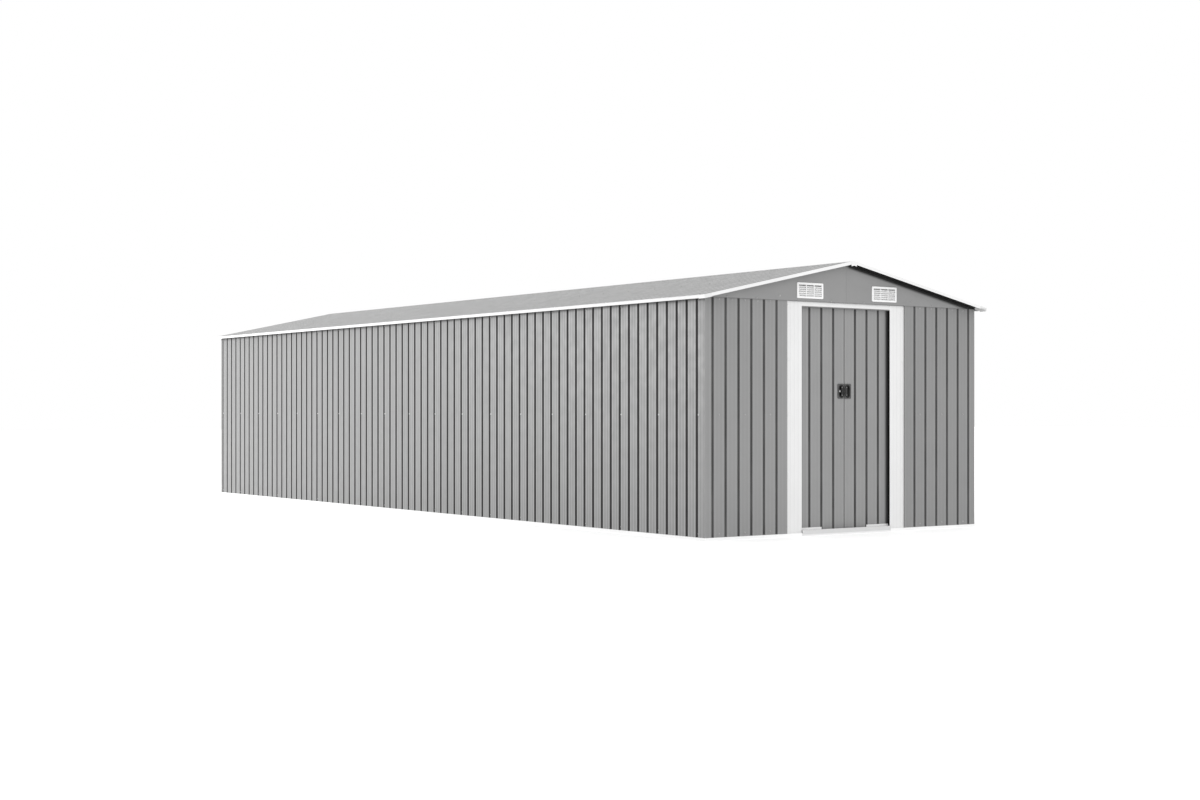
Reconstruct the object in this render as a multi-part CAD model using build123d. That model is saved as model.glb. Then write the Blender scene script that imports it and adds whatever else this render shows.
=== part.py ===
from build123d import *
import math
import os

# A long steel garden shed: ribbed sheet walls on a base rail, a low gable roof and two sliding doors.
# Millimetres. Origin on the ground under the middle of the shed, +X right and +Z up.
# The doors face -Y.

# Walls
WALL_WIDTH = 2464.0
WALL_LENGTH = 7755.0
WALL_TOP = 1561.0
SIDE_WALL_RISE = 11.5
SHEET = 1.0

# Ribs pressed into the sheets
RIB_DEPTH = 10.0
RIB_MOUTH = 20.0
RIB_FLOOR = 9.0
SIDE_RIB_PITCH = 106.0
SIDE_RIB_INSET = 81.0
FRONT_RIB_PITCH = 107.3
FRONT_RIB_INSET = 63.5
FRONT_RIBS_BESIDE_DOOR = 6

# Base rail, folded from thicker strip
RAIL_HEIGHT = 22.0
RAIL_GAUGE = 1.5
RAIL_FLANGE = 42.0
RAIL_UPSTAND = 38.0

# Inner frame
CORNER_LEG = 25.0
TOP_RAIL_HEIGHT = 28.0
TOP_RAIL_FLANGE = 30.0
MID_RAIL_CENTRE = 809.0
MID_RAIL_HEIGHT = 30.0
MID_RAIL_FLANGE = 25.0
PURLIN_WIDTH = 40.0
PURLIN_HEIGHT = 45.0

# Roof
ROOF_SLOPE = 12.04
ROOF_RIB_DEPTH = 6.0
ROOF_RIB_PITCH = 106.0
EAVE_OVERHANG = 54.0
GABLE_OVERHANG = 64.0
SEAT_GAP = 0.3
RIDGE_GAP = 4.0
RIDGE_CAP_WING = 60.0
TRIM_LIP = 14.0
TRIM_HEIGHT = 20.0
GABLE_FLANGE = 20.0
CORNER_CAP_REACH = 60.0
CORNER_CAP_SKIRT = 3.0
RIDGE_CAP_END_WING = 24.0
RIDGE_CAP_END_SKIRT = 12.0

# Vents in the gables
VENT_WIDTH = 231.0
VENT_HEIGHT = 104.0
VENT_OFFSET = 339.5
VENT_ABOVE_WALL = 21.0
VENT_BORDER = 14.0
VENT_PROUD = 5.0
VENT_COLUMNS = 3
VENT_ROWS = 6
VENT_BAR = 5.0
VENT_SLOT_TILT = 30.0

# Doorway
DOORWAY_HALF = 403.0
JAMB_WIDTH = 135.0
JAMB_LAP = 20.0
JAMB_RETURN = 25.0
JAMB_DEPTH = 25.5
JAMB_TOP_GAP = 2.0
LINTEL_TOP_GAP = 5.0
LINTEL_HEIGHT = 31.0
SILL_HEIGHT = 32.0
SILL_LIP_RISE = 9.0
SILL_LIP_DEPTH = 8.0

# Sliding doors
DOOR_SETBACK = 34.0
LEAF_LAP = 17.5
LEAF_FLOOR_GAP = 6.0
LEAF_HEAD_GAP = 7.0
MEETING_GAP = 5.0
LEAF_RIB_INSET = 100.0
LEAF_RIBS = 3
FRAME_BAR = 20.0
FRAME_DEPTH = 20.0
RUNNING_GAP = 5.5
TRACK_DROP = 23.0
TRACK_SHELF_DEPTH = 29.0
TRACK_LIP = 5.5
HANGER_WIDTH = 40.0
HANGER_INSET = 84.0
GUIDE_WIDTH = 40.0
GUIDE_THICKNESS = 8.0
GUIDE_DROP = 26.0
FLOOR_TRACK_HALF = 800.0
FOOT_STRIP_WIDTH = 215.0
FOOT_STRIP_HEIGHT = 15.0
FOOT_STRIP_LIFT = 1.0

# Recessed pulls
PULL_WIDTH = 58.0
PULL_HEIGHT = 101.0
PULL_CENTRE_HEIGHT = 966.5
PULL_PROUD = 3.0
PULL_INSET = 0.5
CUP_WIDTH = 32.0
CUP_HEIGHT = 80.0
CUP_DEPTH = 18.0
CUP_WALL = 2.0

# Worked out from the sizes above
HALF_WIDTH = WALL_WIDTH / 2
FRONT = -WALL_LENGTH / 2
BACK = WALL_LENGTH / 2
SKIN = RIB_DEPTH + SHEET
JAMB_FACE = SKIN - RAIL_GAUGE
ROOF_SKIN = ROOF_RIB_DEPTH + SHEET
TAN_SLOPE = math.tan(math.radians(ROOF_SLOPE))
COS_SLOPE = math.cos(math.radians(ROOF_SLOPE))
ROOF_END = FRONT - GABLE_OVERHANG
SLOPE_LENGTH = (HALF_WIDTH + EAVE_OVERHANG) / COS_SLOPE
UNDERSIDE = ROOF_SKIN + SEAT_GAP
SIDE_WALL_TOP = WALL_TOP + SIDE_WALL_RISE
RIDGE_HEIGHT = SIDE_WALL_TOP + HALF_WIDTH * TAN_SLOPE + UNDERSIDE / COS_SLOPE
TRACK_SHELF_HEIGHT = WALL_TOP - TRACK_DROP
LEAF_WIDTH = DOORWAY_HALF + LEAF_LAP - MEETING_GAP / 2
LEAF_BOTTOM = SILL_HEIGHT + LEAF_FLOOR_GAP
LEAF_TOP = TRACK_SHELF_HEIGHT - LEAF_HEAD_GAP
JAMB_TOP = WALL_TOP - JAMB_TOP_GAP
LINTEL_TOP = WALL_TOP - LINTEL_TOP_GAP
LINTEL_BOTTOM = LINTEL_TOP - LINTEL_HEIGHT
VENT_CENTRE_HEIGHT = WALL_TOP + VENT_ABOVE_WALL + VENT_HEIGHT / 2


def offset_right(path, distance):
    """The same open path, moved to the right of its travel, with mitred corners."""
    normals = []
    for (x0, y0), (x1, y1) in zip(path, path[1:]):
        length = math.hypot(x1 - x0, y1 - y0)
        normals.append(((y1 - y0) / length, (x0 - x1) / length))
    moved = []
    for index, (x, y) in enumerate(path):
        before = normals[max(index - 1, 0)]
        after = normals[min(index, len(normals) - 1)]
        scale = distance / (1 + before[0] * after[0] + before[1] * after[1])
        moved.append((x + (before[0] + after[0]) * scale, y + (before[1] + after[1]) * scale))
    return moved


def folded_outline(path, gauge):
    """Closed outline of a strip folded along the path, its metal to the right of travel."""
    return path + offset_right(path, gauge)[::-1]


def prism(outline, plane, start, end):
    """A closed outline drawn on a plane and extruded between two distances along its normal."""
    face = make_face(Polyline(*outline, close=True))
    return plane * Pos(0, 0, start) * extrude(face, amount=end - start)


def along_z(outline, bottom, top):
    return prism(outline, Plane.XY, bottom, top)


# Drawn as (y, z) and extruded along X
def along_x(outline, left, right):
    return prism(outline, Plane.YZ, left, right)


# Drawn as (x, z) and extruded along Y
def along_y(outline, near, far):
    plane = Plane(origin=(0, 0, 0), x_dir=(1, 0, 0), z_dir=(0, -1, 0))
    return prism(outline, plane, -far, -near)


def block(x0, x1, y0, y1, z0, z1):
    box = Box(x1 - x0, y1 - y0, z1 - z0)
    return Pos((x0 + x1) / 2, (y0 + y1) / 2, (z0 + z1) / 2) * box


def left_right(part):
    return mirror(part, Plane.YZ)


def front_back(part):
    return mirror(part, Plane.XZ)


def on_slope(part):
    """Move a piece drawn with x down the slope and z off the sheet onto the right-hand roof slope."""
    return Pos(0, 0, RIDGE_HEIGHT) * Rot(0, ROOF_SLOPE, 0) * part


def rib_path(start, end, centres, depth):
    """Outer face of a ribbed sheet as (distance along, depth), the ribs being pressed inward."""
    path = [(start, 0.0)]
    for centre in centres:
        path.append((centre - RIB_MOUTH / 2, 0.0))
        path.append((centre - RIB_FLOOR / 2, depth))
        path.append((centre + RIB_FLOOR / 2, depth))
        path.append((centre + RIB_MOUTH / 2, 0.0))
    path.append((end, 0.0))
    return path


def ribbed_outline(start, end, centres, depth=RIB_DEPTH):
    """Closed outline of a ribbed sheet, its metal on the inner side of the rib path."""
    path = rib_path(start, end, centres, depth)
    return path + offset_right(path[::-1], SHEET)


def rib_row(first, pitch, last):
    """Rib centres from first, at a pitch, kept a rib's mouth clear of last."""
    count = int((last - RIB_MOUTH - first) / pitch) + 1
    return [first + pitch * index for index in range(count)]


def under_roof(x):
    """Height of the seat under the roof sheets at a distance from the middle."""
    return RIDGE_HEIGHT - abs(x) * TAN_SLOPE - UNDERSIDE / COS_SLOPE


def side_wall():
    """The right-hand wall: one run of ribbed sheet from corner to corner."""
    ribs = rib_row(FRONT + SIDE_RIB_INSET, SIDE_RIB_PITCH, BACK)
    outline = [(HALF_WIDTH - deep, along) for along, deep in ribbed_outline(FRONT, BACK, ribs)]
    return along_z(outline, RAIL_HEIGHT, SIDE_WALL_TOP)


def end_wall(path):
    """A front wall sheet from its outer face, given as (x, depth)."""
    outline = path + offset_right(path[::-1], SHEET)
    return along_z([(along, FRONT + deep) for along, deep in outline], RAIL_HEIGHT, WALL_TOP)


def front_rib_centres():
    first = -HALF_WIDTH + FRONT_RIB_INSET
    return [first + FRONT_RIB_PITCH * index for index in range(FRONT_RIBS_BESIDE_DOOR)]


def front_wall():
    """The sheet left of the doorway, its edge folded back onto the face of the door post."""
    edge = -DOORWAY_HALF - JAMB_WIDTH
    path = rib_path(-HALF_WIDTH + SHEET, edge, front_rib_centres(), RIB_DEPTH)
    return end_wall(path + [(edge, JAMB_FACE)])


def back_wall():
    span = HALF_WIDTH - FRONT_RIB_INSET
    count = round(2 * span / FRONT_RIB_PITCH)
    pitch = 2 * span / count
    centres = [-span + pitch * index for index in range(count + 1)]
    return front_back(end_wall(rib_path(-HALF_WIDTH + SHEET, HALF_WIDTH - SHEET, centres, RIB_DEPTH)))


def rail_section():
    """Base rail as (inward, height): foot flange, web, ledge for the sheet, and upstand behind it."""
    path = [(RAIL_FLANGE, 0), (0, 0), (0, RAIL_HEIGHT), (SKIN, RAIL_HEIGHT)]
    path.append((SKIN, RAIL_HEIGHT + RAIL_UPSTAND))
    return folded_outline(path, RAIL_GAUGE)


def mitre(half, inner, bottom, top):
    """A block with 45 degree ends in plan, reaching inward from the face y = FRONT."""
    outline = [(-half, FRONT), (half, FRONT), (half - inner, FRONT + inner), (-half + inner, FRONT + inner)]
    return along_z(outline, bottom, top)


def side_rail():
    outline = [(HALF_WIDTH - inward, height) for inward, height in rail_section()]
    rail = along_y(outline, FRONT, BACK)
    reach = RAIL_FLANGE + RAIL_GAUGE
    plan = [(HALF_WIDTH, FRONT), (HALF_WIDTH, BACK)]
    plan += [(HALF_WIDTH - reach, BACK - reach), (HALF_WIDTH - reach, FRONT + reach)]
    return rail & along_z(plan, 0, RAIL_HEIGHT + RAIL_UPSTAND)


def end_rail(start, end):
    outline = [(FRONT + inward, height) for inward, height in rail_section()]
    rail = along_x(outline, start, end)
    return rail & mitre(HALF_WIDTH, RAIL_FLANGE + RAIL_GAUGE, 0, RAIL_HEIGHT + RAIL_UPSTAND)


def corner_angle():
    """Front right corner angle, tucked inside the two sheets and standing on the rail's ledge."""
    x = HALF_WIDTH - SHEET
    y = FRONT + SHEET
    path = [(x - CORNER_LEG, y), (x, y), (x, y + CORNER_LEG)]
    return along_z(path + offset_right(path[::-1], RAIL_GAUGE), RAIL_HEIGHT, WALL_TOP)


def channel_section(flange, bottom, top):
    """A channel as (inward, height), its web against the sheet's ribs."""
    path = [(SKIN + flange, bottom), (SKIN, bottom), (SKIN, top), (SKIN + flange, top)]
    return folded_outline(path, RAIL_GAUGE)


def side_channel(section, near, far):
    return along_y([(HALF_WIDTH - inward, height) for inward, height in section], near, far)


def end_channel(section, half):
    return along_x([(FRONT + inward, height) for inward, height in section], -half, half)


def side_top_rail():
    inset = SKIN + TOP_RAIL_FLANGE
    section = channel_section(TOP_RAIL_FLANGE, SIDE_WALL_TOP - TOP_RAIL_HEIGHT, SIDE_WALL_TOP)
    return side_channel(section, FRONT + inset, BACK - inset)


def back_top_rail():
    section = channel_section(TOP_RAIL_FLANGE, WALL_TOP - TOP_RAIL_HEIGHT, WALL_TOP)
    return front_back(end_channel(section, HALF_WIDTH - SKIN))


def mid_rail_section():
    bottom = MID_RAIL_CENTRE - MID_RAIL_HEIGHT / 2
    return channel_section(MID_RAIL_FLANGE, bottom, bottom + MID_RAIL_HEIGHT)


def side_mid_rail():
    return side_channel(mid_rail_section(), FRONT + RAIL_FLANGE, BACK - SKIN)


def back_mid_rail():
    return front_back(end_channel(mid_rail_section(), HALF_WIDTH - SKIN - MID_RAIL_FLANGE))


def door_track():
    """Front top rail: a web behind the sheets, a top flange, and a lipped shelf that the doors hang on."""
    shelf_end = SKIN + TRACK_SHELF_DEPTH
    path = [(shelf_end, TRACK_SHELF_HEIGHT + TRACK_LIP), (shelf_end, TRACK_SHELF_HEIGHT)]
    path += [(SKIN, TRACK_SHELF_HEIGHT), (SKIN, WALL_TOP), (SKIN + TOP_RAIL_FLANGE, WALL_TOP)]
    return end_channel(folded_outline(path, RAIL_GAUGE), HALF_WIDTH - SKIN)


def gable_outline(inset):
    """Gable sheet as (x, z), drawn inward by inset from the wall top and from the roof's seat."""
    base = WALL_TOP + inset
    drop = inset / COS_SLOPE
    reach = HALF_WIDTH - SHEET - inset
    return [(-reach, base), (reach, base), (reach, under_roof(reach) - drop),
            (0, under_roof(0) - drop), (-reach, under_roof(reach) - drop)]


def gable_panel():
    """A folded tray: plain sheet with a flange all round, and two holes behind the vents."""
    tray = along_y(gable_outline(0), FRONT, FRONT + GABLE_FLANGE)
    tray -= along_y(gable_outline(SHEET), FRONT + SHEET, FRONT + GABLE_FLANGE)
    for side in (-1, 1):
        tray -= vent_hole(side * VENT_OFFSET)
    return tray


def vent_hole(x):
    half_width = VENT_WIDTH / 2 - VENT_BORDER
    half_height = VENT_HEIGHT / 2 - VENT_BORDER
    return block(x - half_width, x + half_width, FRONT - SHEET, FRONT + 2 * SHEET,
                 VENT_CENTRE_HEIGHT - half_height, VENT_CENTRE_HEIGHT + half_height)


def vent(x):
    """A vent plate fixed over its hole in the front gable, with rows of slots that slope down outward."""
    inner_width = VENT_WIDTH - 2 * VENT_BORDER
    inner_height = VENT_HEIGHT - 2 * VENT_BORDER
    column = (inner_width + VENT_BAR) / VENT_COLUMNS
    row = (inner_height + VENT_BAR) / VENT_ROWS
    plate = extrude(RectangleRounded(VENT_WIDTH, VENT_HEIGHT, VENT_BORDER / 2), amount=VENT_PROUD)
    slot = Rot(VENT_SLOT_TILT, 0, 0) * Box(column - VENT_BAR, row - VENT_BAR, 4 * VENT_PROUD)
    middle = Pos(0, 0, VENT_PROUD / 2)
    plate -= [middle * place * slot for place in GridLocations(column, row, VENT_COLUMNS, VENT_ROWS)]
    upright = Plane(origin=(x, FRONT, VENT_CENTRE_HEIGHT), x_dir=(1, 0, 0), z_dir=(0, -1, 0))
    return upright * plate


def roof_sheet():
    ribs = rib_row(ROOF_END + SIDE_RIB_INSET, ROOF_RIB_PITCH, -ROOF_END)
    outline = ribbed_outline(ROOF_END, -ROOF_END, ribs, ROOF_RIB_DEPTH)
    section = [(along, -deep) for along, deep in outline]
    return on_slope(along_x(section, RIDGE_GAP, SLOPE_LENGTH))


def ridge_beam():
    """A closed box beam under the ridge, its top folded to the two slopes."""
    beam = along_y(ridge_beam_outline(0), FRONT + GABLE_FLANGE, BACK - GABLE_FLANGE)
    return beam - along_y(ridge_beam_outline(RAIL_GAUGE), FRONT, BACK)


def ridge_beam_outline(inset):
    half = PURLIN_WIDTH / 2 - inset
    top = under_roof(0) - inset
    shoulder = top - half * TAN_SLOPE
    foot = under_roof(0) - PURLIN_HEIGHT + inset
    return [(-half, foot), (half, foot), (half, shoulder), (0, top), (-half, shoulder)]


def purlin():
    """A channel under the middle of the slope, lying square to it."""
    middle = SLOPE_LENGTH / 2
    left = middle - PURLIN_WIDTH / 2
    right = middle + PURLIN_WIDTH / 2
    path = [(right, -UNDERSIDE - PURLIN_HEIGHT), (left, -UNDERSIDE - PURLIN_HEIGHT)]
    path += [(left, -UNDERSIDE), (right, -UNDERSIDE)]
    outline = folded_outline(path, RAIL_GAUGE)
    return on_slope(along_y(outline, FRONT + GABLE_FLANGE, BACK - GABLE_FLANGE))


def ridge_cap():
    """A folded strip over the gap between the two roof slopes."""
    drop = RIDGE_CAP_WING * TAN_SLOPE
    path = [(-RIDGE_CAP_WING, RIDGE_HEIGHT - drop), (0, RIDGE_HEIGHT)]
    path.append((RIDGE_CAP_WING, RIDGE_HEIGHT - drop))
    outline = path + offset_right(path[::-1], SHEET)
    return along_y(outline, ROOF_END + TRIM_LIP, -ROOF_END - TRIM_LIP)


def eave_trim():
    """Folded edging that laps the sheet's top and hangs in front of its low edge."""
    outer = SLOPE_LENGTH + SHEET
    foot = SHEET - TRIM_HEIGHT
    path = [(SLOPE_LENGTH - TRIM_LIP, SHEET), (outer, SHEET), (outer, foot)]
    path.append((SLOPE_LENGTH - TRIM_LIP, foot))
    outline = folded_outline(path, SHEET)
    return on_slope(along_y(outline, ROOF_END + TRIM_LIP, -ROOF_END - TRIM_LIP))


def rake_section(soffit):
    """Rake edging as (y, z off the sheet), its lower fold reaching inward by the soffit's depth."""
    foot = SHEET - TRIM_HEIGHT
    path = [(ROOF_END + soffit, foot), (ROOF_END - SHEET, foot)]
    path += [(ROOF_END - SHEET, SHEET), (ROOF_END + TRIM_LIP, SHEET)]
    return folded_outline(path, SHEET)


def rake_trim():
    """Front right edging along the sheet's sloping end, boxed back to the gable and cut plumb at the ridge."""
    low = SLOPE_LENGTH + SHEET
    step = SLOPE_LENGTH - TRIM_LIP
    trim = along_x(rake_section(GABLE_OVERHANG), -TRIM_HEIGHT, step)
    trim += along_x(rake_section(TRIM_LIP), step, low)
    keep = block(0, low, ROOF_END - TRIM_HEIGHT, FRONT, 0, RIDGE_HEIGHT + TRIM_HEIGHT)
    return on_slope(trim) & keep


def corner_cap():
    """Front right eave corner: a folded cap over the meeting of the two trims, cut to a point each way."""
    low = SLOPE_LENGTH + SHEET
    near = ROOF_END - SHEET
    top = 2 * SHEET
    foot = SHEET - TRIM_HEIGHT - CORNER_CAP_SKIRT
    plan = [(low + SHEET, near - SHEET), (low + SHEET, near + CORNER_CAP_REACH)]
    plan += [(low - TRIM_LIP, near + TRIM_LIP), (low - CORNER_CAP_REACH, near - SHEET)]
    cap = prism(plan, Plane.XY, foot, top)
    inside = block(low - 2 * CORNER_CAP_REACH, low, near, near + 2 * CORNER_CAP_REACH, foot, SHEET)
    return on_slope(cap - inside)


def ridge_end_cap():
    """Front ridge end: a folded plate over the tops of the two rake trims and down their faces."""
    wing = RIDGE_CAP_END_WING
    top = RIDGE_HEIGHT + 2 * SHEET / COS_SLOPE
    foot = top - TRIM_HEIGHT - RIDGE_CAP_END_SKIRT
    drop = wing * TAN_SLOPE
    outline = [(-wing, foot - drop), (0, foot), (wing, foot - drop), (wing, top - drop), (0, top)]
    outline.append((-wing, top - drop))
    near = ROOF_END - SHEET
    cap = along_y(outline, near - SHEET, ROOF_END + TRIM_LIP)
    seat = RIDGE_HEIGHT + SHEET / COS_SLOPE
    under = [(-wing, 0), (wing, 0), (wing, seat - drop), (0, seat), (-wing, seat - drop)]
    return cap - along_y(under, near, ROOF_END + TRIM_LIP)


def jamb():
    """Left door post: a wide face that runs behind the wall sheet, and a return notched under the track."""
    inner = -DOORWAY_HALF
    outer = inner - JAMB_WIDTH - JAMB_LAP
    face = FRONT + JAMB_FACE
    path = [(outer, face), (inner, face), (inner, FRONT + JAMB_DEPTH)]
    path.append((inner - JAMB_RETURN, FRONT + JAMB_DEPTH))
    post = along_z(path + offset_right(path, -RAIL_GAUGE)[::-1], RAIL_HEIGHT, JAMB_TOP)
    notch = block(outer, inner, FRONT + SKIN, FRONT + JAMB_DEPTH, TRACK_SHELF_HEIGHT, JAMB_TOP)
    return post - notch


def lintel():
    """White head strip between the door posts, fixed to the front of the door track."""
    face = FRONT + JAMB_FACE
    path = [(FRONT + JAMB_DEPTH, LINTEL_BOTTOM), (face, LINTEL_BOTTOM), (face, LINTEL_TOP)]
    return along_x(folded_outline(path, RAIL_GAUGE), -DOORWAY_HALF, DOORWAY_HALF)


def sill():
    """Low threshold between the door posts, with a raised front lip and a fold back to the floor track."""
    back = FRONT + track_near()
    top = SILL_HEIGHT + SILL_LIP_RISE
    path = [(FRONT, 0), (FRONT, top), (FRONT + SILL_LIP_DEPTH, top)]
    path += [(FRONT + SILL_LIP_DEPTH, SILL_HEIGHT), (back, SILL_HEIGHT)]
    return along_x(folded_outline(path, RAIL_GAUGE), -DOORWAY_HALF, DOORWAY_HALF)


def leaf_back():
    """Depth of the back of a leaf's sheet, where its frame starts."""
    return DOOR_SETBACK + SKIN


def guide_near():
    return leaf_back() + (FRAME_DEPTH - GUIDE_THICKNESS) / 2


def track_near():
    """Depth of the floor track's front face."""
    return guide_near() - RUNNING_GAP - RAIL_GAUGE


def floor_track():
    """A channel on the ground that the doors' guides run in."""
    near = FRONT + track_near()
    far = FRONT + guide_near() + GUIDE_THICKNESS + RUNNING_GAP + RAIL_GAUGE
    path = [(near, SILL_HEIGHT), (near, 0), (far, 0), (far, SILL_HEIGHT)]
    outline = path + offset_right(path, -RAIL_GAUGE)[::-1]
    return along_x(outline, -FLOOR_TRACK_HALF, FLOOR_TRACK_HALF)


# The left leaf is drawn and the right one mirrored from it
def leaf_span():
    inner = -MEETING_GAP / 2
    return inner - LEAF_WIDTH, inner


def door_panel():
    outer, inner = leaf_span()
    centres = [-LEAF_RIB_INSET - FRONT_RIB_PITCH * index for index in range(LEAF_RIBS)][::-1]
    front = FRONT + DOOR_SETBACK
    outline = [(along, front + deep) for along, deep in ribbed_outline(outer, inner, centres)]
    sheet = along_z(outline, LEAF_BOTTOM, LEAF_TOP)
    cup_left, cup_right = cup_span()
    half = CUP_HEIGHT / 2
    hole = block(cup_left, cup_right, front - SHEET, front + SHEET,
                 PULL_CENTRE_HEIGHT - half, PULL_CENTRE_HEIGHT + half)
    return sheet - hole


def door_frame():
    """Angle frame behind the sheet: a flat border and a stiffening flange on its inner edge."""
    outer, inner = leaf_span()
    near = FRONT + leaf_back()
    far = near + FRAME_DEPTH
    flange = RAIL_GAUGE
    frame = block(outer, inner, near, far, LEAF_BOTTOM, LEAF_TOP)
    edge = FRAME_BAR - flange
    inside = block(outer + FRAME_BAR, inner - FRAME_BAR, near - flange, far + flange,
                   LEAF_BOTTOM + FRAME_BAR, LEAF_TOP - FRAME_BAR)
    core = block(outer + edge, inner - edge, near, far, LEAF_BOTTOM + edge, LEAF_TOP - edge)
    behind = block(outer - flange, inner + flange, near + flange, far + flange,
                   LEAF_BOTTOM - flange, LEAF_TOP + flange)
    return frame - inside - (behind - core)


def hanger_places():
    outer, inner = leaf_span()
    return (outer + HANGER_INSET, inner - HANGER_INSET)


def hangers():
    """Two hooks that stand on the frame's top, reach over the track's lip and ride its shelf."""
    shelf = TRACK_SHELF_HEIGHT + RAIL_GAUGE + SEAT_GAP
    top = WALL_TOP - RAIL_GAUGE - RUNNING_GAP
    lip_top = TRACK_SHELF_HEIGHT + TRACK_LIP
    foot_near = FRONT + SKIN + RAIL_GAUGE + RUNNING_GAP
    foot_far = FRONT + SKIN + TRACK_SHELF_DEPTH - RAIL_GAUGE - RUNNING_GAP
    post_near = FRONT + leaf_back() + RAIL_GAUGE
    post_far = FRONT + leaf_back() + FRAME_DEPTH
    post_foot = LEAF_TOP - FRAME_BAR + RAIL_GAUGE
    outline = [(foot_near, shelf), (foot_far, shelf), (foot_far, lip_top + RUNNING_GAP)]
    outline += [(post_near, lip_top + RUNNING_GAP), (post_near, post_foot)]
    outline += [(post_far, post_foot), (post_far, top), (foot_near, top)]
    hooks = [along_x(outline, x - HANGER_WIDTH / 2, x + HANGER_WIDTH / 2) for x in hanger_places()]
    return Compound(children=hooks)


def guides():
    """Two tongues under the frame that run in the floor track."""
    near = FRONT + guide_near()
    tongues = []
    for x in hanger_places():
        tongues.append(block(x - GUIDE_WIDTH / 2, x + GUIDE_WIDTH / 2, near, near + GUIDE_THICKNESS,
                             LEAF_BOTTOM - GUIDE_DROP, LEAF_BOTTOM + FRAME_BAR - RAIL_GAUGE))
    return Compound(children=tongues)


def cup_span():
    """The recess of the left pull, kept beside the frame's upright."""
    outer, inner = leaf_span()
    right = inner - FRAME_BAR - RAIL_GAUGE
    return right - CUP_WIDTH, right


def pull():
    """A rounded plate with a finger cup sunk through the sheet."""
    outer, inner = leaf_span()
    right = inner - PULL_INSET
    front = FRONT + DOOR_SETBACK
    upright = Plane(origin=(right - PULL_WIDTH / 2, front, PULL_CENTRE_HEIGHT),
                    x_dir=(1, 0, 0), z_dir=(0, -1, 0))
    plate = upright * extrude(RectangleRounded(PULL_WIDTH, PULL_HEIGHT, 3 * PULL_PROUD), amount=PULL_PROUD)
    left, right = cup_span()
    half = CUP_HEIGHT / 2
    cup = block(left, right, front, front + CUP_DEPTH,
                PULL_CENTRE_HEIGHT - half, PULL_CENTRE_HEIGHT + half)
    hollow = block(left + CUP_WALL, right - CUP_WALL, front - 2 * PULL_PROUD, front + CUP_DEPTH - CUP_WALL,
                   PULL_CENTRE_HEIGHT - half + CUP_WALL, PULL_CENTRE_HEIGHT + half - CUP_WALL)
    return plate + cup - hollow


def foot_strip():
    """White strip across the outer half of a leaf's foot."""
    outer, inner = leaf_span()
    front = FRONT + DOOR_SETBACK
    bottom = LEAF_BOTTOM + FOOT_STRIP_LIFT
    return block(outer, outer + FOOT_STRIP_WIDTH, front - RAIL_GAUGE, front, bottom, bottom + FOOT_STRIP_HEIGHT)


def meeting_strip():
    """A flat strip on the right leaf's frame, closing the line where the leaves meet."""
    near = FRONT + leaf_back() + FRAME_DEPTH
    edge = MEETING_GAP / 2 + FRAME_BAR
    clear = edge - RAIL_GAUGE - RUNNING_GAP
    return block(-clear, edge, near, near + RAIL_GAUGE, LEAF_BOTTOM, LEAF_TOP)


def four_corners(part):
    """A front right piece and its three mirror images, as solids that share a node."""
    right_pair = [part, front_back(part)]
    return Compound(children=right_pair + [left_right(piece) for piece in right_pair])


def pair(part, reflect):
    return Compound(children=[part, reflect(part)])


def wall_nodes():
    return {
        "wall_right": side_wall(),
        "wall_left": left_right(side_wall()),
        "wall_front": pair(front_wall(), left_right),
        "wall_back": back_wall(),
        "gable_front": gable_panel(),
        "gable_back": front_back(gable_panel()),
        "gable_vents": four_corners(vent(VENT_OFFSET)),
    }


def frame_nodes():
    return {
        "side_base_rails": pair(side_rail(), left_right),
        "back_base_rail": front_back(end_rail(-HALF_WIDTH, HALF_WIDTH)),
        "front_base_rails": pair(end_rail(DOORWAY_HALF + RAIL_GAUGE, HALF_WIDTH), left_right),
        "corner_angles": four_corners(corner_angle()),
        "side_top_rails": pair(side_top_rail(), left_right),
        "back_top_rail": back_top_rail(),
        "side_mid_rails": pair(side_mid_rail(), left_right),
        "back_mid_rail": back_mid_rail(),
        "ridge_beam": ridge_beam(),
        "purlins": pair(purlin(), left_right),
    }


def roof_nodes():
    return {
        "roof_sheet_right": roof_sheet(),
        "roof_sheet_left": left_right(roof_sheet()),
        "ridge_cap": ridge_cap(),
        "eave_trims": pair(eave_trim(), left_right),
        "rake_trim_front_right": rake_trim(),
        "rake_trim_front_left": left_right(rake_trim()),
        "rake_trim_back_right": front_back(rake_trim()),
        "rake_trim_back_left": front_back(left_right(rake_trim())),
        "eave_corner_caps": four_corners(corner_cap()),
        "ridge_end_caps": pair(ridge_end_cap(), front_back),
    }


def doorway_nodes():
    return {
        "door_posts": pair(jamb(), left_right),
        "lintel": lintel(),
        "door_track": door_track(),
        "door_sill": sill(),
        "floor_track": floor_track(),
        "meeting_strip": meeting_strip(),
    }


def leaf_nodes():
    """The left leaf's pieces, each with its mirror image on the right leaf."""
    pieces = {
        "door_panel": door_panel(),
        "door_frame": door_frame(),
        "door_hangers": hangers(),
        "door_guides": guides(),
        "door_pull": pull(),
        "door_foot_strip": foot_strip(),
    }
    nodes = {f"{name}_left": piece for name, piece in pieces.items()}
    nodes.update({f"{name}_right": left_right(piece) for name, piece in pieces.items()})
    return nodes


def build():
    """Every sub-part by node name."""
    nodes = {}
    for group in (wall_nodes, frame_nodes, roof_nodes, doorway_nodes, leaf_nodes):
        nodes.update(group())
    return nodes


def main():
    os.makedirs("parts", exist_ok=True)
    for name, solid in build().items():
        export_step(solid, f"parts/{name}.step")


main()
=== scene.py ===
import math

import bmesh
import bpy
from mathutils import Matrix, Vector


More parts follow.
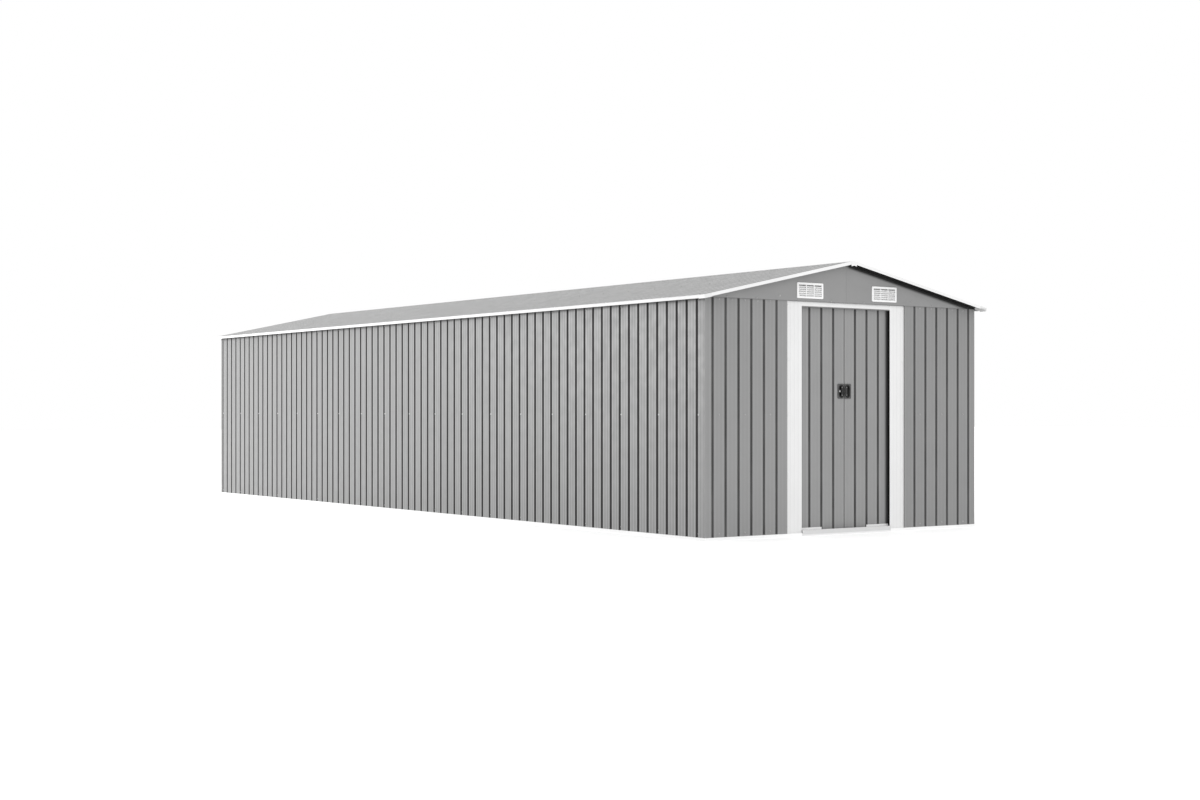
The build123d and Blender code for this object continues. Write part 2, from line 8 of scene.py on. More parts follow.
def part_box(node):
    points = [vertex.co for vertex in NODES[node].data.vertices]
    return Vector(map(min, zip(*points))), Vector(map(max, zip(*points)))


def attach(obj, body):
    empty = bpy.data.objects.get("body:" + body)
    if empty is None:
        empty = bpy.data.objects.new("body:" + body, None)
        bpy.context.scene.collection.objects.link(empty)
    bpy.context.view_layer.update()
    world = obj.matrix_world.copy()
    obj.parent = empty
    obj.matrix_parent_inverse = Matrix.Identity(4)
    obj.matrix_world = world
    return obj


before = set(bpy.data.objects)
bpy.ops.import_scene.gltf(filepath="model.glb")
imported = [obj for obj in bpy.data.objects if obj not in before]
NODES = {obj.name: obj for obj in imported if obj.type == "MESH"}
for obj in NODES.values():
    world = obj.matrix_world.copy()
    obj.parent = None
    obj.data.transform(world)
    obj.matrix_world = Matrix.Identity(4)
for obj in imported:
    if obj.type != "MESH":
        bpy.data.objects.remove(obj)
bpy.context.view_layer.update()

# Metres. The doors face -Y, +X is the right of someone facing them and +Z is up.
X, Y, Z = range(3)
LOW, HIGH = range(2)
SIDES = ((-1, "left"), (1, "right"))
ENDS = ((-1, "front"), (1, "back"))


def edge(node, end, axis):
    """Coordinate of a node's low or high end along an axis, to a hundredth of a millimetre."""
    return round(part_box(node)[end][axis], 5)


def middle(node, axis):
    """Coordinate halfway between a node's low and high ends along an axis."""
    return (edge(node, LOW, axis) + edge(node, HIGH, axis)) / 2


# Sizes of the solid model
HALF_WIDTH = edge("wall_right", HIGH, X)
HALF_LENGTH = edge("wall_back", HIGH, Y)
FRONT = -HALF_LENGTH
WALL_TOP = edge("wall_front", HIGH, Z)
SIDE_TOP = edge("wall_right", HIGH, Z)
ROOF_END = edge("roof_sheet_right", LOW, Y)
POST_FACE = edge("door_posts", LOW, Y)
TRACK_FACE = edge("door_track", LOW, Y)
LEAF_FRONT = edge("door_panel_left", LOW, Y)
PULL_FRONT = edge("door_pull_left", LOW, Y)
PULL_HEIGHT = middle("door_pull_left", Z)
VENT_HEIGHT = middle("gable_vents", Z)
MID_RAIL = middle("side_mid_rails", Z)
DOORWAY_HALF = edge("lintel", HIGH, X)
SLOPE = math.radians(12.04)
RIDGE_GAP = 0.004
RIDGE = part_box("roof_sheet_right")[HIGH].z + RIDGE_GAP * math.tan(SLOPE)
GABLE_APEX = SIDE_TOP + HALF_WIDTH * math.tan(SLOPE)
VENT_OFFSET = 0.3395
RIM_CENTRE = 0.0285

# Ribs of the sheets, counted along a wall or roof slope
SIDE_PITCH = 0.106
SIDE_RIB_INSET = 0.081
SIDE_FIRST_RIB = FRONT + SIDE_RIB_INSET
SIDE_RIBS = 73
ROOF_RIBS = 74
FRONT_PITCH = 0.1073
FRONT_RIB_INSET = 0.0635
FRONT_FIRST_RIB = HALF_WIDTH - FRONT_RIB_INSET
LEAF_FIRST_RIB = 0.1

# Linear tones of the paints
SHEET_TONE = 0.30
WHITE_TONE = 0.79
POST_TONE = 0.755
LINTEL_SHADOW_TONE = 0.2
PULL_TONE = 0.065


class Graph:
    """A material and short ways to add nodes to it."""

    def __init__(self, name):
        self.material = bpy.data.materials.new(name)
        self.material.use_nodes = True
        self.tree = self.material.node_tree
        self.tree.nodes.clear()
        self.shader = self.node("ShaderNodeBsdfPrincipled")
        output = self.node("ShaderNodeOutputMaterial")
        self.tree.links.new(self.shader.outputs[0], output.inputs[0])
        self.point = self.node("ShaderNodeTexCoord").outputs["Object"]

    def node(self, kind, **settings):
        made = self.tree.nodes.new(kind)
        for key, value in settings.items():
            setattr(made, key, value)
        return made

    def put(self, socket, value):
        """Link another socket to this one, or set its own value."""
        if isinstance(value, bpy.types.NodeSocket):
            self.tree.links.new(value, socket)
        else:
            socket.default_value = value

    def math(self, operation, *values):
        made = self.node("ShaderNodeMath", operation=operation)
        for socket, value in zip(made.inputs, values):
            self.put(socket, value)
        return made.outputs[0]

    def times(self, a, b):
        return self.math("MULTIPLY", a, b)

    def vector(self, operation, *values, output="Vector"):
        made = self.node("ShaderNodeVectorMath", operation=operation)
        for socket, value in zip(made.inputs, values):
            self.put(socket, value)
        return made.outputs[output]

    def smooth(self, value, low, high, start=0.0, end=1.0):
        """Smooth step from start to end as the value goes from low to high, which may run downward."""
        made = self.node("ShaderNodeMapRange", interpolation_type="SMOOTHSTEP")
        for socket, given in zip(made.inputs, (value, low, high, start, end)):
            self.put(socket, given)
        return made.outputs[0]

    def noise(self, scale, detail=3.0, stretch=(1.0, 1.0, 1.0)):
        made = self.node("ShaderNodeTexNoise")
        self.put(made.inputs["Vector"], self.vector("MULTIPLY", self.point, stretch))
        self.put(made.inputs["Scale"], scale)
        self.put(made.inputs["Detail"], detail)
        return made.outputs["Fac"]

    def mix(self, factor, a, b):
        made = self.node("ShaderNodeMix", data_type="RGBA")
        self.put(made.inputs[0], factor)
        self.put(made.inputs[6], a)
        self.put(made.inputs[7], b)
        return made.outputs[2]

    def bump(self, height, distance, strength=1.0, before=None):
        made = self.node("ShaderNodeBump")
        self.put(made.inputs["Height"], height)
        self.put(made.inputs["Distance"], distance)
        self.put(made.inputs["Strength"], strength)
        if before is not None:
            self.put(made.inputs["Normal"], before)
        return made.outputs["Normal"]

    def part(self, vector, index):
        """One of a vector's three numbers."""
        split = self.node("ShaderNodeSeparateXYZ")
        self.put(split.inputs[0], vector)
        return split.outputs[index]

    def axis(self, index):
        return self.part(self.point, index)

    def away(self, index):
        """Distance from the shed's middle along an axis."""
        return self.part(self.vector("ABSOLUTE", self.point), index)

    def depth(self, weights, offset):
        """Distance behind a plane, from weights on |x|, |y| and z and an offset."""
        weighed = self.vector("DOT_PRODUCT", self.vector("ABSOLUTE", self.point), weights, output="Value")
        return self.math("ADD", weighed, offset)

    def past_corner(self):
        """How far a point is outside the corner where a long wall meets an end wall."""
        lean = 0.9
        return self.depth((1.0, lean, 0.0), -HALF_WIDTH - lean * HALF_LENGTH)

    def finish(self, colour, roughness, normal):
        self.put(self.shader.inputs["Base Color"], colour)
        self.put(self.shader.inputs["Roughness"], roughness)
        self.put(self.shader.inputs["Normal"], normal)
        return self.material


def grey(value):
    return (value, value, value, 1.0)


class Coating(Graph):
    """Painted sheet with faint mottling, streaks and orange peel, and shading laid over it."""

    def __init__(self, name, tone):
        super().__init__(name)
        self.tone = tone
        mottle = self.smooth(self.noise(2.2, 4.0), 0.3, 0.7)
        streak = self.smooth(self.noise(9.0, 3.0, (1.0, 1.0, 0.06)), 0.35, 0.75)
        foot = self.smooth(self.axis(Z), 0.02, 0.16, 0.18, 0.0)
        self.colour = self.mix(mottle, grey(tone * 0.97), grey(tone * 1.03))
        self.toward(self.times(streak, 0.25), 0.93)
        self.toward(self.times(foot, self.noise(30.0, 4.0)), 0.8)

    def toward(self, share, scale):
        """Take the colour toward the coat's own tone times a scale."""
        self.colour = self.mix(share, self.colour, grey(self.tone * scale))

    def rib_highlights_and_shade(self, place, first, pitch, strength, tail=0.0):
        """Painted highlights on the sheet between two ribs, and a dark tail of painted shade beside each rib.
        """
        along = self.math("DIVIDE", self.math("SUBTRACT", place, first), pitch)
        turn = self.math("FRACT", self.math("ADD", along, 64.0))
        phase = self.math("ABSOLUTE", self.math("SUBTRACT", turn, 0.5))
        rim = self.times(self.smooth(phase, 0.22, 0.30), self.smooth(phase, 0.37, 0.32))
        centre = self.times(self.smooth(phase, 0.10, 0.0), 0.6)
        self.toward(self.times(self.math("ADD", rim, centre), strength), 1.6)
        if tail > 0.0:
            self.toward(self.smooth(phase, 0.325, 0.405, 0.0, tail), 0.15)

    def shade_up_to(self, top, span, strength):
        """Shade that gathers toward a height, under what overhangs the sheet."""
        self.toward(self.smooth(self.axis(Z), top - span, top, 0.0, strength), 0.2)

    def plain_below(self, height, tone):
        """Another tone, without mottling, below a height."""
        blur = 0.0005
        below = self.smooth(self.axis(Z), height + blur, height - blur)
        self.colour = self.mix(below, self.colour, grey(tone))

    def done(self):
        roughness = self.smooth(self.noise(14.0, 4.0), 0.3, 0.7, 0.36, 0.50)
        waves = self.bump(self.noise(3.0, 1.0, (1.0, 1.0, 0.5)), 0.0012, 0.5)
        peel = self.bump(self.noise(60.0, 3.0), 0.0002, 0.35, waves)
        return self.finish(self.colour, roughness, peel)


def plain_coat(name, tone):
    return Coating(name, tone).done()


def side_coat():
    """Paint of the long walls: the sheets' grey darkened as painted shade, with painted highlights between
    the ribs, painted shade beside each rib and painted shade up under the eaves.
    """
    coat = Coating("side_grey", SHEET_TONE * 0.645)
    coat.rib_highlights_and_shade(coat.axis(Y), SIDE_FIRST_RIB, SIDE_PITCH, 0.80, tail=0.85)
    coat.shade_up_to(WALL_TOP - 0.009, 0.024, 0.75)
    return coat.done()


def end_coat():
    """Paint of the end walls: the sheets' grey darkened as painted shade, with faint painted highlights
    between the ribs, painted shade up under the top, and more painted shade toward +X.
    """
    coat = Coating("end_grey", SHEET_TONE * 0.82)
    coat.rib_highlights_and_shade(coat.away(X), FRONT_FIRST_RIB, FRONT_PITCH, 0.13)
    coat.shade_up_to(WALL_TOP + 0.012, 0.03, 0.35)
    # Painted shade that grows toward +X, the side away from the light.
    coat.toward(coat.smooth(coat.axis(X), 0.3, 0.8, 0.0, 0.14), 0.5)
    return coat.done()


def leaf_coat():
    """Paint of the door leaves: the sheets' grey darkened as painted shade, with faint painted highlights
    between the ribs, a little painted shade at the top, and dark painted shade where they run behind the
    posts.
    """
    coat = Coating("leaf_grey", SHEET_TONE * 0.87)
    coat.rib_highlights_and_shade(coat.away(X), LEAF_FIRST_RIB, FRONT_PITCH, 0.10)
    coat.shade_up_to(WALL_TOP - 0.026, 0.03, 0.1)
    # Dark painted shade along the leaves' outer edges, where they run behind the posts.
    coat.toward(coat.smooth(coat.away(X), DOORWAY_HALF - 0.031, DOORWAY_HALF - 0.003, 0.0, 0.9), 0.05)
    return coat.done()


def gable_coat():
    """Paint of the gables: the sheets' grey darkened as painted shade, paler close under the roof as painted
    light, with painted shade under the rake at +X and a painted shadow along the lap at the foot.
    """
    coat = Coating("gable_grey", SHEET_TONE * 0.84)
    rake_drop = 0.0195
    below = coat.math("SUBTRACT", coat.depth((-math.tan(SLOPE), 0.0, -1.0), RIDGE), rake_drop)
    # Painted light close under the roof, against the shade of the overhang.
    coat.toward(coat.smooth(below, 0.14, 0.02, 0.0, 0.3), 1.45)
    right = coat.smooth(coat.axis(X), -0.02, 0.02)
    # Painted shade under the rake, on the +X half only.
    coat.toward(coat.times(coat.smooth(below, 0.032, 0.010), right), 0.03)
    # Painted shadow along the lap at the gable's foot.
    coat.toward(coat.smooth(coat.axis(Z), WALL_TOP + 0.0045, WALL_TOP + 0.0015, 0.0, 0.6), 0.2)
    return coat.done()


def corner_cap_coat():
    """White of the eave corner caps, those at +X shaded low and near the wall."""
    coat = Coating("cap_white", 0.74)
    low = coat.times(coat.smooth(coat.axis(Z), WALL_TOP + 0.013, WALL_TOP - 0.005),
                     coat.smooth(coat.axis(X), 0.0, 0.1))
    coat.toward(coat.times(low, coat.smooth(coat.past_corner(), 0.15, 0.01)), 0.12)
    return coat.done()


def sill_coat():
    """White paint of the sill, brighter at its foot."""
    coat = Coating("sill_white", 0.64)
    coat.plain_below(0.0115, WHITE_TONE)
    return coat.done()


def lintel_coat():
    """White paint of the lintel, with a painted shadow as a dark band along its lower edge."""
    coat = Coating("lintel_white", POST_TONE)
    # Painted shadow: the lintel's lowest strip in a dark grey.
    coat.plain_below(WALL_TOP - 0.0292, LINTEL_SHADOW_TONE)
    return coat.done()


def post_coat():
    """White paint of the door posts, with faint pressed lines."""
    graph = Graph("post_white")
    mottle = graph.smooth(graph.noise(3.0, 4.0), 0.3, 0.7)
    colour = graph.mix(mottle, grey(POST_TONE * 0.97), grey(POST_TONE))
    lines = 0.0
    for inset in (0.033, 0.067, 0.101):
        off = graph.math("ABSOLUTE", graph.math("SUBTRACT", graph.away(X), DOORWAY_HALF + inset))
        lines = graph.math("ADD", graph.smooth(off, 0.001, 0.004, 1.0, 0.0), lines)
    colour = graph.mix(graph.times(lines, 0.12), colour, grey(POST_TONE * 0.5))
    roughness = graph.smooth(graph.noise(14.0, 4.0), 0.3, 0.7, 0.34, 0.46)
    normal = graph.bump(lines, 0.0015, 0.5, graph.bump(graph.noise(60.0, 3.0), 0.0002, 0.35))
    return graph.finish(colour, roughness, normal)


def galvanised(name, tone):
    """Zinc with its faint spangle and scuffs."""
    graph = Graph(name)
    cells = graph.node("ShaderNodeTexVoronoi")
    graph.put(cells.inputs["Vector"], graph.point)
    graph.put(cells.inputs["Scale"], 90.0)
    spangle = graph.part(cells.outputs["Color"], 0)
    colour = graph.mix(spangle, grey(tone * 0.88), grey(tone * 1.1))
    scuff = graph.smooth(graph.noise(22.0, 5.0, (0.3, 0.3, 1.0)), 0.55, 0.75)
    colour = graph.mix(graph.times(scuff, 0.4), colour, grey(tone * 0.7))
    graph.put(graph.shader.inputs["Metallic"], 0.75)
    roughness = graph.smooth(spangle, 0.0, 1.0, 0.38, 0.55)
    return graph.finish(colour, roughness, graph.bump(graph.noise(120.0, 2.0), 0.0001, 0.4))


def shaded(name, tone, corner_tone=None):
    """Painted shade for grooves, undersides and the doorway's returns: a dull dark colour, with another tone
    where the roof stands past the walls, out of the shade.
    """
    graph = Graph(name)
    graph.put(graph.shader.inputs["Specular IOR Level"], 0.15)
    worn = graph.smooth(graph.noise(12.0, 4.0, (1.0, 1.0, 0.3)), 0.3, 0.75)
    colour = graph.mix(worn, grey(tone * 0.85), grey(tone * 1.2))
    if corner_tone is not None:
        colour = graph.mix(graph.smooth(graph.past_corner(), -0.002, 0.002), colour, grey(corner_tone))
    roughness = graph.smooth(graph.noise(25.0, 3.0), 0.3, 0.7, 0.85, 1.0)
    return graph.finish(colour, roughness, graph.bump(graph.noise(80.0, 2.0), 0.0002, 0.4))


def moulded(name, tone, roughness=(0.42, 0.6), cup_shade=None):
    """Moulded plastic with a fine spark-eroded grain.

    An optional (x, tone) pair paints a darker oval on the pull's plate, within its rim: painted shade that
    makes the finger cup look wider than its recess.
    """
    graph = Graph(name)
    colour = graph.mix(graph.noise(25.0, 3.0), grey(tone * 0.85), grey(tone * 1.2))
    if cup_shade is not None:
        x, cup_shade_tone = cup_shade
        half_x, half_z = 0.020, 0.040
        offset = graph.vector("SUBTRACT", graph.point, (x, 0.0, PULL_HEIGHT))
        scaled = graph.vector("MULTIPLY", offset, (1 / half_x, 0.0, 1 / half_z))
        inside = graph.smooth(graph.vector("LENGTH", scaled, output="Value"), 1.05, 0.95)
        colour = graph.mix(inside, colour, grey(cup_shade_tone))
    rough = graph.smooth(graph.noise(60.0, 3.0), 0.3, 0.7, *roughness)
    return graph.finish(colour, rough, graph.bump(graph.noise(400.0, 2.0), 0.00015, 0.5))


def screen_coat():
    """Pale mesh, shaded where the top row of louvres hangs over it."""
    graph = Graph("screen_white")
    colour = graph.mix(graph.noise(40.0, 3.0), grey(0.84), grey(0.92))
    shade = graph.smooth(graph.axis(Z), VENT_HEIGHT + 0.0275, VENT_HEIGHT + 0.0295, 0.0, 0.65)
    colour = graph.mix(shade, colour, grey(0.06))
    return graph.finish(colour, 0.6, graph.bump(graph.noise(300.0, 2.0), 0.0001, 0.4))


# Paint of the CAD nodes, by material
side_paint = side_coat()
end_paint = end_coat()
leaf_paint = leaf_coat()
gable_paint = gable_coat()
lintel_paint = lintel_coat()
white_paint = plain_coat("trim_white", WHITE_TONE)
zinc = galvanised("zinc", 0.55)
# The sheets' grey and the trims' white take a tone of their own on each part: lighter and darker copies of
# one paint, as painted light and shade for how the light falls on each part.
PAINTED = (
    (side_paint, ("wall_right", "wall_left")),
    (end_paint, ("wall_front", "wall_back")),
    (gable_paint, ("gable_front", "gable_back")),
    (leaf_paint, ("door_panel_left", "door_panel_right")),
    (plain_coat("roof_grey", SHEET_TONE), ("roof_sheet_right", "roof_sheet_left")),
    (plain_coat("cap_grey", SHEET_TONE), ("ridge_cap",)),
    (post_coat(), ("door_posts",)),
    (sill_coat(), ("door_sill",)),
    (lintel_paint, ("lintel",)),
    (plain_coat("eave_white", 0.72), ("eave_trims",)),
    (corner_cap_coat(), ("eave_corner_caps",)),
    (plain_coat("vent_white", 0.88), ("gable_vents",)),
    # The pulls' plates carry a dark oval of painted shade inside the rim.
    (moulded("pull_left", PULL_TONE, cup_shade=(-RIM_CENTRE, 0.004)), ("door_pull_left",)),
    (moulded("pull_right", PULL_TONE, cup_shade=(RIM_CENTRE, 0.02)), ("door_pull_right",)),
    (white_paint, ("ridge_end_caps", "rake_trim_front_right", "rake_trim_front_left",
                   "rake_trim_back_right", "rake_trim_back_left", "side_base_rails", "back_base_rail")),
    (plain_coat("bright_white", 0.90), ("front_base_rails", "door_foot_strip_left", "door_foot_strip_right")),
    (moulded("nylon_white", 0.7), ("door_hangers_left", "door_hangers_right",
                                   "door_guides_left", "door_guides_right")),
)


def paint_nodes():
    """Paint the listed nodes, and leave the rest of the frame in zinc."""
    paint = {name: material for material, names in PAINTED for name in names}
    for name, node in NODES.items():
        node.data.materials.clear()
        node.data.materials.append(paint.get(name, zinc))


def second_finish(names, material, belongs):
    """Give the faces that belong, told by centre and normal, another material than the rest of the node."""
    for name in names:
        mesh = NODES[name].data
        mesh.materials.append(material)
        for face in mesh.polygons:
            if belongs(face.center, face.normal):
                face.material_index = len(mesh.materials) - 1


# How deep a face lies and how far it turns outward where it counts as part of a groove
GROOVE_DEPTH = 0.0015
ROOF_GROOVE_DEPTH = 0.0008
GROOVE_TILT = 0.02


def in_groove(axis, surface):
    """Test for faces in a rib that is pressed in from the surface at that distance along the axis."""
    def belongs(centre, normal):
        behind = surface - abs(centre[axis])
        outward = normal[axis] * (1 if centre[axis] > 0 else -1)
        return behind > GROOVE_DEPTH and outward > GROOVE_TILT
    return belongs


def in_roof_groove(centre, normal):
    under = RIDGE * math.cos(SLOPE) - abs(centre[X]) * math.sin(SLOPE) - centre[Z] * math.cos(SLOPE)
    return under > ROOF_GROOVE_DEPTH and normal[Z] > GROOVE_TILT


def faces_down(centre, normal):
    return normal[Z] < -0.5


def is_track_front(centre, normal):
    return normal[Y] < -0.5 and centre[Y] < TRACK_FACE + 0.002


def is_doorway_return(centre, normal):
    return abs(normal[X]) > 0.5 and abs(centre[X]) < DOORWAY_HALF + 0.007


def finish_faces():
    """Painted shade in grooves, under the roof and beside the doorway, and white on the track's face."""
    side_groove_shade = shaded("side_groove_shade", 0.055)
    end_groove_shade = shaded("end_groove_shade", 0.11)
    roof_sheets = ("roof_sheet_left", "roof_sheet_right")
    rake_trims = [name for name in NODES if name.startswith("rake_trim")]
    second_finish(("wall_left", "wall_right"), side_groove_shade, in_groove(X, HALF_WIDTH))
    second_finish(("wall_front", "wall_back"), end_groove_shade, in_groove(Y, HALF_LENGTH))
    second_finish(("door_panel_left", "door_panel_right"), end_groove_shade, in_groove(Y, -LEAF_FRONT))
    second_finish(roof_sheets, shaded("roof_groove_shade", 0.22), in_roof_groove)
    second_finish(roof_sheets, shaded("soffit_shade", 0.05), faces_down)
    second_finish(rake_trims, shaded("rake_soffit_shade", 0.008, corner_tone=0.45), faces_down)
    second_finish(["door_track"], lintel_paint, is_track_front)
    second_finish(["door_posts"], shaded("doorway_return_shade", 0.008), is_doorway_return)


def add_object(name, data):
    made = bpy.data.objects.new(name, data)
    bpy.context.scene.collection.objects.link(made)
    return made


def add_mesh(name, mesh, material):
    """An object made from a bmesh, which is then freed."""
    data = bpy.data.meshes.new(name)
    mesh.to_mesh(data)
    mesh.free()
    data.materials.append(material)
    return add_object(name, data)


def new_piece(name, mesh, material, body):
    """A piece of the shed that rides on a body."""
    piece = add_mesh(name, mesh, material)
    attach(piece, body)


def facing(place, out):
    """Transform of a piece drawn along +Z so that it stands off the surface at place along out."""
    return Matrix.Translation(Vector(place)) @ Vector(out).to_track_quat("Z", "Y").to_matrix().to_4x4()


def bridge(mesh, loops):
    """Faces between each closed loop of points and the next."""
    for low, high in zip(loops, loops[1:]):
        for index in range(len(low)):
            after = (index + 1) % len(low)
            mesh.faces.new((low[index], low[after], high[after], high[index]))


def lathe(mesh, profile, steps, matrix, twist=0.0):
    """Add the profile, as (radius, height) pairs ending on the axis, turned round Z."""
    rings = []
    for radius, height in profile[:-1]:
        ring = []
        for index in range(steps):
            angle = 2 * math.pi * index / steps + twist
            point = Vector((radius * math.cos(angle), radius * math.sin(angle), height))
            ring.append(mesh.verts.new(matrix @ point))
        rings.append(ring)
    bridge(mesh, rings)
    tip = mesh.verts.new(matrix @ Vector((0, 0, profile[-1][1])))
    for index in range(steps):
        mesh.faces.new((rings[-1][index], rings[-1][(index + 1) % steps], tip))


# Screws: profiles as (radius, height) pairs, and the heights of the rows
SCREW_FLANGE = ((0.0062, 0.0), (0.0062, 0.0008), (0.0048, 0.0016), (0.0, 0.0016))
SCREW_HEAD = ((0.0038, 0.0012), (0.0038, 0.0036), (0.0031, 0.0044), (0.0016, 0.0044), (0.0, 0.0038))
BASE_SCREWS = 0.046
SIDE_HEAD_SCREWS = 1.540
FRONT_HEAD_SCREWS = 1.551
BACK_HEAD_SCREWS = 1.545


def screws(name, places, material, size=1.0):
    """Flanged hexagon heads at (place, outward direction) pairs, as one piece."""
    mesh = bmesh.new()
    for place, out in places:
        matrix = facing(place, out) @ Matrix.Scale(size, 4)
        lathe(mesh, SCREW_FLANGE, 14, matrix)
        lathe(mesh, SCREW_HEAD, 6, matrix, twist=0.3)
    new_piece(name, mesh, material, "shed_body")


def side_screws(grey_cap, pale_cap):
    """Rows at the foot, middle and head of the long walls, one beside every fourth rib."""
    beside = 0.018
    ribs = [SIDE_FIRST_RIB + SIDE_PITCH * index for index in range(SIDE_RIBS)]
    rows = [y - beside for y in ribs[::4]]
    for side, label in SIDES:
        out = (side, 0, 0)
        x = side * HALF_WIDTH
        screws(f"mid_rail_screws_{label}", [((x, y, MID_RAIL), out) for y in rows], pale_cap)
        edges = [((x, y, z), out) for y in rows for z in (BASE_SCREWS, SIDE_HEAD_SCREWS)]
        screws(f"wall_screws_{label}", edges, grey_cap)


def between_ribs(first, pitch, indices):
    """Places midway between ribs, counted from the first."""
    return [first + pitch * (index + 0.5) for index in indices]


def front_screws(grey_cap):
    out = (0, -1, 0)
    columns = between_ribs(-FRONT_FIRST_RIB, FRONT_PITCH, (0, 2, 4))
    heights = (BASE_SCREWS, MID_RAIL)
    places = [((side * x, FRONT, z), out) for x in columns for z in heights for side in (-1, 1)]
    screws("front_wall_screws", places, grey_cap)
    tops = between_ribs(-FRONT_FIRST_RIB, FRONT_PITCH, range(5))
    places = [((side * x, FRONT, FRONT_HEAD_SCREWS), out) for x in tops for side in (-1, 1)]
    screws("front_top_screws", places, grey_cap)


def back_screws(grey_cap):
    run = 2 * FRONT_FIRST_RIB
    gaps = round(run / FRONT_PITCH)
    columns = between_ribs(-FRONT_FIRST_RIB, run / gaps, range(0, gaps, 3))
    heights = (BASE_SCREWS, MID_RAIL, BACK_HEAD_SCREWS)
    places = [((x, HALF_LENGTH, z), (0, 1, 0)) for x in columns for z in heights]
    screws("back_wall_screws", places, grey_cap)


def on_roof(x, y, lift=0.0):
    """Point on the sheet's top, with its outward direction, at a plan position."""
    side = 1 if x > 0 else -1
    out = Vector((side * math.sin(SLOPE), 0, math.cos(SLOPE)))
    return Vector((x, y, RIDGE - abs(x) * math.tan(SLOPE))) + out * lift, out


def roof_screws(grey_cap, white_cap):
    """Rows over the ridge beam, purlins and eaves, and along the eave trims."""
    gaps = between_ribs(ROOF_END + SIDE_RIB_INSET, SIDE_PITCH, range(0, ROOF_RIBS - 1, 3))
    rows = (-1.215, -0.628, -0.075, 0.075, 0.628, 1.215)
    screws("roof_screws", [on_roof(x, y) for y in gaps for x in rows], grey_cap)
    trim_row = 1.2795
    trim_lift = 0.0011
    places = [on_roof(side * trim_row, y, trim_lift) for y in gaps[1:-1:2] for side in (-1, 1)]
    screws("eave_trim_screws", places, white_cap, size=0.8)


def gable_screws(grey_cap):
    def row(distances, height):
        return [((x, end * HALF_LENGTH, height), (0, end, 0)) for end in (-1, 1) for x in distances]

    foot_row = (-1.05, -0.80, -0.15, 0.15, 0.80, 1.05)
    screws("gable_screws", row(foot_row, WALL_TOP + 0.008), grey_cap)
    screws("gable_high_screws", row((-0.6015, 0.6015), WALL_TOP + 0.031), plain_coat("screw_light", 0.42))


def post_screws(white_cap):
    column = 0.522
    heights = (0.06, 0.43, 0.80, 1.17, 1.535)
    places = [((side * column, POST_FACE, z), (0, -1, 0)) for side in (-1, 1) for z in heights]
    screws("post_screws", places, white_cap)


def gable_seam(label, end):
    """A thin strip up the middle of a gable, pointed at the top, its edges eased."""
    half, thickness = 0.012, 0.0008
    foot, shoulder, tip = WALL_TOP + 0.001, GABLE_APEX - 0.004, GABLE_APEX - 0.001
    outline = ((-half, foot), (half, foot), (half, shoulder), (0, tip), (-half, shoulder))
    mesh = bmesh.new()
    low, high = [[mesh.verts.new((x, end * (HALF_LENGTH + lift), z)) for x, z in outline]
                 for lift in (0.0, thickness)]
    mesh.faces.new(high)
    mesh.faces.new(low[::-1])
    bridge(mesh, (low, high))
    bmesh.ops.recalc_face_normals(mesh, faces=mesh.faces)
    bmesh.ops.bevel(mesh, geom=list(mesh.edges), offset=thickness * 0.3, segments=1, affect="EDGES")
    new_piece(f"gable_seam_{label}", mesh, gable_paint, "shed_body")


def vent_screen(name, x, end, material):
    """Pale insect mesh behind a vent's slots, woven from crossing wires."""
    half_x, half_z = 0.1005, 0.037
    wire, weave, behind = 0.0006, 0.0002, 0.0004
    y = end * (HALF_LENGTH - behind)
    mesh = bmesh.new()
    for count, half_run, half_span, upright in ((64, half_z, half_x, True), (24, half_x, half_z, False)):
        shift = weave if upright else -weave
        for index in range(count):
            place = -half_span + 2 * half_span * (index + 0.5) / count
            corners = ((-wire, -half_run), (wire, -half_run), (wire, half_run), (-wire, half_run))
            points = [(place + off, run) if upright else (run, place + off) for off, run in corners]
            verts = [mesh.verts.new((x + right, y + shift, VENT_HEIGHT + up)) for right, up in points]
            mesh.faces.new(verts)
    new_piece(name, mesh, material, "shed_body")


# Small parts of the pulls
RIVET_DOME = ((0.0036, 0.0), (0.0034, 0.0010), (0.0024, 0.0018), (0.0, 0.0021))
RIVET_X, RIVET_Z = 0.0215, 0.0265
RIM_HALF_X, RIM_HALF_Z, RIM_WIDTH = 0.0165, 0.0365, 0.0085
RIM_LIFT, RIM_SUNK = 0.0010, -0.002
BEZEL_X, BEZEL_HALF_X, BEZEL_HALF_Z, BEZEL_BEND = 0.032, 0.0285, 0.050, 0.0085
BEZEL_LIFT = 0.0006
BARREL = ((0.0075, 0.0), (0.0075, 0.0125), (0.0068, 0.0135),
          (0.0046, 0.0138), (0.0042, 0.0128), (0.0, 0.0128))
BARREL_X = -0.037
CUP_DEPTH = 0.019


def rounded_loop(mesh, centre_x, half_x, half_z, bend, lift):
    """Points of a rounded rectangle that stands off the pull's plate by the lift."""
    loop = []
    for right, up, start in ((1, 1, 0), (-1, 1, 90), (-1, -1, 180), (1, -1, 270)):
        for step in range(7):
            angle = math.radians(start + 15 * step)
            x = right * (half_x - bend) + bend * math.cos(angle)
            z = up * (half_z - bend) + bend * math.sin(angle)
            loop.append(mesh.verts.new((centre_x + x, PULL_FRONT - lift, PULL_HEIGHT + z)))
    return loop


def moulding(name, levels, closed, material, body):
    """A moulding of the pull, from (loop, lift) pairs, closed into a ring section or open behind."""
    mesh = bmesh.new()
    loops = [rounded_loop(mesh, *shape, lift) for shape, lift in levels]
    bridge(mesh, loops + loops[:1] if closed else loops)
    bmesh.ops.recalc_face_normals(mesh, faces=mesh.faces)
    new_piece(name, mesh, material, body)


